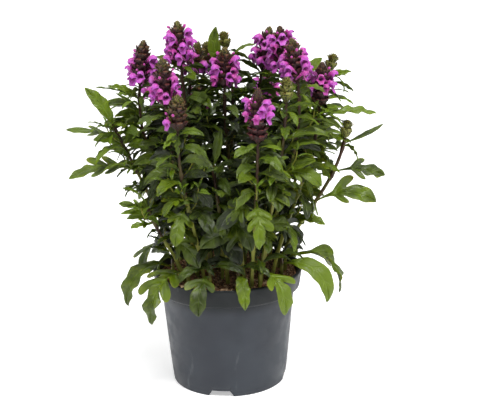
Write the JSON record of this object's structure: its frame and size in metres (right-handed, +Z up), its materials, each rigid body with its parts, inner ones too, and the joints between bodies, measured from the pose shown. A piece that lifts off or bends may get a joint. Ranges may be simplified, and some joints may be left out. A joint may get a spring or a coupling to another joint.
{
  "type": "potted self-heal",
  "caption": "Self-heal plant in a tapered plastic nursery pot: leafy square stems topped by dense spikes of purple two-lipped florets over peat.",
  "frame": {"origin": "centre of the pot's flat underside, on the surface it stands on", "axes": "+Z up, -Y towards the viewer of the front, +X to the viewer's right"},
  "size_m": [0.3552, 0.258, 0.409],
  "materials": {
    "pot": "smooth matte moulded slate-grey plastic",
    "peat": "loose moist peat, granular, red-brown with tan flecks",
    "leaf": "soft, slightly glossy mid-green leaf with sunken veins",
    "stem": "square green stem flushed purple-brown above",
    "calyx": "hairy maroon calyces and bracts, olive towards the tip",
    "petal": "thin soft orchid-magenta petal"
  },
  "bodies": {
    "root": {"pot": "pot", "peat": "peat", "stem_01": "leaf", "stem_02": "leaf", "stem_03": "leaf", "stem_04": "leaf", "stem_05": "leaf", "stem_06": "leaf", "stem_07": "leaf", "stem_08": "leaf", "stem_09": "leaf", "stem_10": "leaf", "stem_11": "leaf", "stem_12": "leaf", "stem_13": "leaf", "stem_14": "leaf", "stem_15": "leaf", "stem_16": "leaf", "stem_17": "leaf", "stem_18": "leaf", "stem_19": "leaf", "stem_20": "leaf", "leafy_stem_01": "leaf", "leafy_stem_02": "leaf", "leafy_stem_03": "leaf", "rim_shoot_01": "leaf", "rim_shoot_02": "leaf", "rim_shoot_03": "leaf", "rim_shoot_04": "leaf", "rim_shoot_05": "leaf", "rim_shoot_06": "leaf", "rim_shoot_07": "leaf", "rim_shoot_08": "leaf", "rim_shoot_09": "leaf", "rim_shoot_10": "leaf", "spike_01": "petal", "spike_02": "petal", "spike_03": "petal", "spike_04": "petal", "spike_05": "petal", "spike_06": "petal", "spike_07": "petal", "spike_08": "petal", "spike_09": "petal", "spike_10": "petal", "spike_11": "petal", "spike_12": "petal", "spike_13": "petal", "spike_14": "petal", "spike_15": "petal", "spike_16": "petal", "spike_17": "calyx", "spike_18": "calyx", "spike_19": "calyx", "spike_20": "calyx"}
  },
  "joints": []
}
